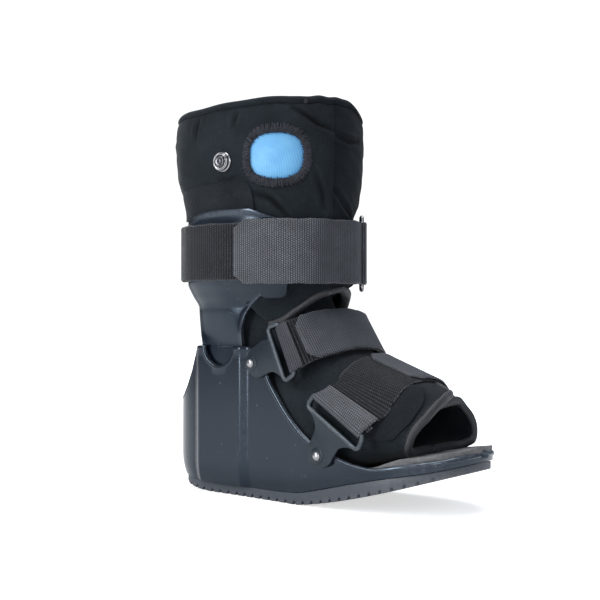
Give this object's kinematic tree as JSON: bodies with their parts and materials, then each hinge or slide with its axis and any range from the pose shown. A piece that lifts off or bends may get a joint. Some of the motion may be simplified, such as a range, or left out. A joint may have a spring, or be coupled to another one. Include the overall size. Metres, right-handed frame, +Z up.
{
  "type": "walking boot",
  "caption": "Short orthopaedic walking boot with a rocker sole, rigid shell and struts, padded liner with an air bulb, open toe and hook-and-loop straps.",
  "frame": {"origin": "on the floor under the middle of the sole, on the sole's lowest face", "axes": "+X toward the toe, +Z up, and -Y out of the side that carries the air bulb and the valve"},
  "size_m": [0.2812, 0.1358, 0.3145],
  "materials": {
    "black_rubber": "matte moulded rubber with shallow cross grooves",
    "shell_plastic": "semi-gloss moulded dark slate plastic with fine scratches and worn edges",
    "bracket_plastic": "satin moulded dark grey plastic",
    "insole_foam": "matte closed-cell foam with a fabric face",
    "liner_fabric": "near-black brushed knit laminated to foam",
    "binding_tape": "grey satin binding tape with a stitch line",
    "loop_fabric": "black loop pile with a purplish cast",
    "black_webbing": "black ribbed hook and loop webbing with brown specks",
    "grey_webbing": "dark grey woven strap with a light sheen",
    "bulb_blue": "sky-blue fine mesh",
    "bright_metal": "bright nickel plate"
  },
  "bodies": {
    "boot": {"outsole": "black_rubber", "base_shell": "shell_plastic", "strut_near": "shell_plastic", "strut_far": "shell_plastic", "ankle_bracket_near": "bracket_plastic", "ankle_bracket_far": "bracket_plastic", "forefoot_bracket_near": "bracket_plastic", "forefoot_bracket_far": "bracket_plastic", "insole": "insole_foam", "calf_wrap": "liner_fabric", "foot_wrap": "liner_fabric", "toe_binding": "binding_tape", "flap_binding": "binding_tape", "calf_patch": "loop_fabric", "toe_patch": "loop_fabric", "calf_strap": "black_webbing", "ankle_strap": "black_webbing", "forefoot_strap": "black_webbing", "calf_strap_tab": "grey_webbing", "ankle_strap_tab": "grey_webbing", "ankle_strap_anchor": "grey_webbing", "forefoot_strap_tab": "grey_webbing", "forefoot_strap_anchor": "grey_webbing", "air_bulb": "bulb_blue", "calf_strap_ring": "bright_metal", "valve_body": "bright_metal", "ankle_rivet_near": "bright_metal", "ankle_rivet_far": "bright_metal", "forefoot_rivet_near": "bright_metal", "forefoot_rivet_far": "bright_metal"},
    "button": {"valve_button": "bright_metal"}
  },
  "joints": [
    {"name": "valve_press", "type": "slide", "parent": "boot", "child": "button", "axis": [-0.0418, 0.9991, 0], "range_m": [0, 0.0012], "stiffness_N_per_m": 1500, "springref_m": -0.001}
  ]
}
